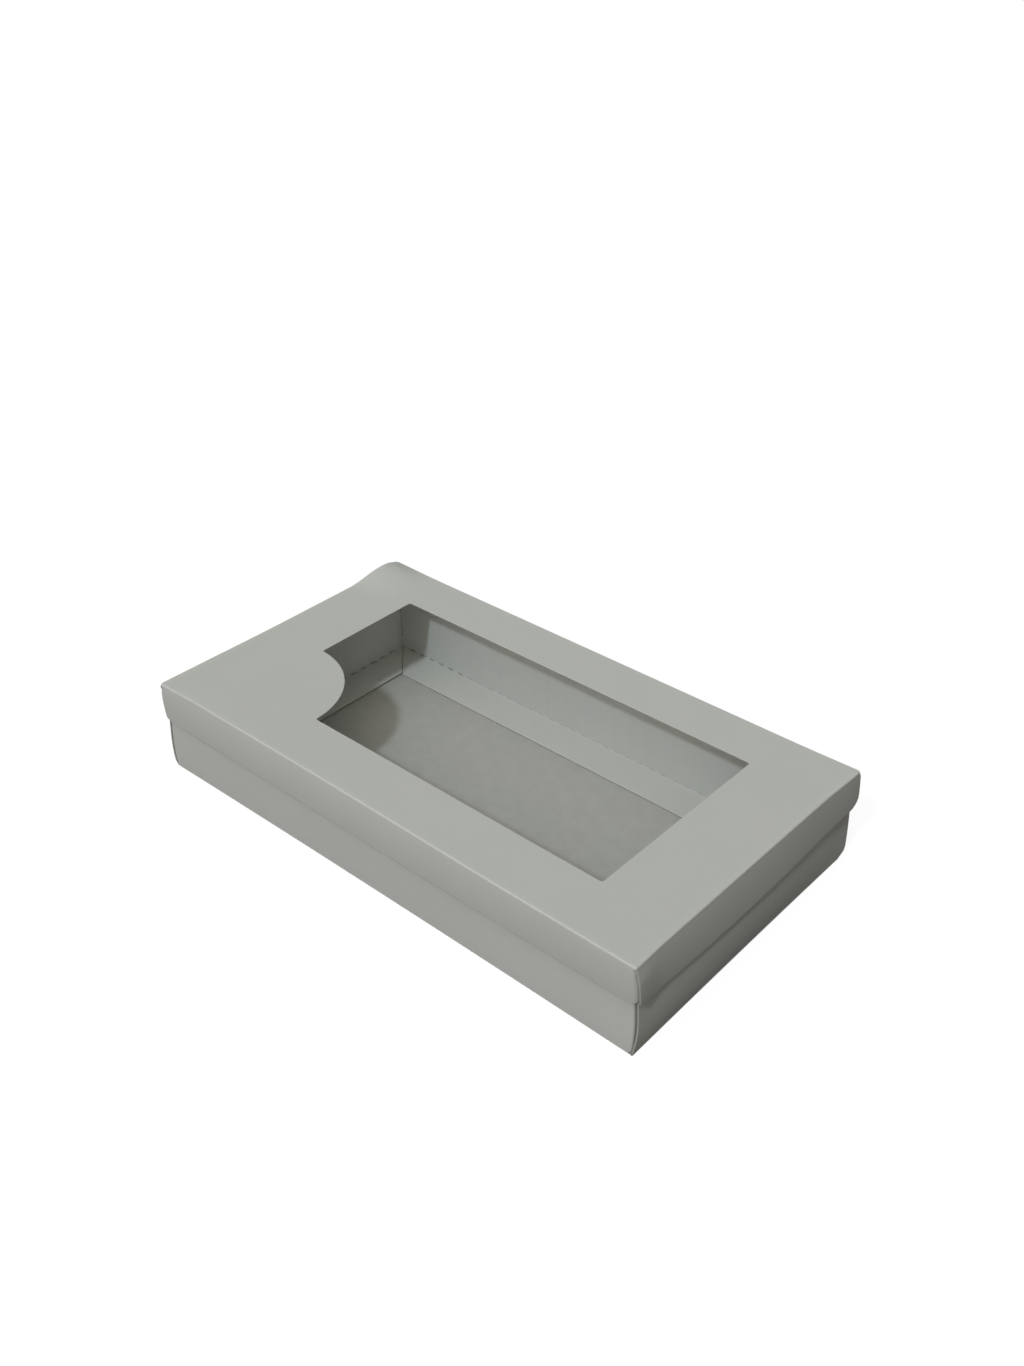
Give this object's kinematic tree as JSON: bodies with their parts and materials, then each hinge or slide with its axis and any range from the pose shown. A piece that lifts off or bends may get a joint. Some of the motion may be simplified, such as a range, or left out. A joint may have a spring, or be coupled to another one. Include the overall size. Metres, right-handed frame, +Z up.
{
  "type": "chocolate box",
  "caption": "Flat rectangular card box: a hollow-walled tray with floor flaps, and a lift-off lid with a large window whose corner is filled by a quarter disc.",
  "frame": {"origin": "middle of the tray's underside, on the surface that the box stands on", "axes": "+X along the long side towards the right end, +Y towards the back, +Z up; the quarter disc is in the window's front left corner"},
  "size_m": [0.18, 0.0988, 0.0298],
  "materials": {
    "lid_card": "matt",
    "tray_card": "matt",
    "inner_card": "matt"
  },
  "bodies": {
    "tray": {"tray_floor": "tray_card", "tray_front_wall": "tray_card", "tray_back_wall": "tray_card", "tray_left_wall": "tray_card", "tray_right_wall": "tray_card", "front_rim": "tray_card", "back_rim": "tray_card", "left_rim": "tray_card", "right_rim": "tray_card", "front_inner_wall": "inner_card", "back_inner_wall": "inner_card", "left_inner_wall": "inner_card", "right_inner_wall": "inner_card", "tray_tab_front_left": "tray_card", "tray_tab_front_right": "tray_card", "tray_tab_back_left": "tray_card", "tray_tab_back_right": "tray_card"},
    "lid": {"lid_top": "lid_card", "lid_front_skirt": "lid_card", "lid_back_skirt": "lid_card", "lid_left_skirt": "lid_card", "lid_right_skirt": "lid_card", "lid_tab_front_left": "lid_card", "lid_tab_front_right": "lid_card", "lid_tab_back_left": "lid_card", "lid_tab_back_right": "lid_card"},
    "front_flap": {"front_flap": "inner_card"},
    "back_flap": {"back_flap": "inner_card"},
    "left_flap": {"left_flap": "inner_card"},
    "right_flap": {"right_flap": "inner_card"}
  },
  "joints": [
    {"name": "lid_lift", "type": "slide", "parent": "tray", "child": "lid", "axis": [0, 0, 1], "range_m": [0, 0.06]},
    {"name": "front_flap_crease", "type": "hinge", "parent": "tray", "child": "front_flap", "pos_m": [0, -0.0437, 0.001], "axis": [1, 0, 0], "range_deg": [0, 85]},
    {"name": "back_flap_crease", "type": "hinge", "parent": "tray", "child": "back_flap", "pos_m": [0, 0.0437, 0.001], "axis": [-1, 0, 0], "range_deg": [0, 85]},
    {"name": "left_flap_crease", "type": "hinge", "parent": "tray", "child": "left_flap", "pos_m": [-0.08385, 0, 0.001], "axis": [0, -1, 0], "range_deg": [0, 85]},
    {"name": "right_flap_crease", "type": "hinge", "parent": "tray", "child": "right_flap", "pos_m": [0.08385, 0, 0.001], "axis": [0, 1, 0], "range_deg": [0, 85]}
  ]
}
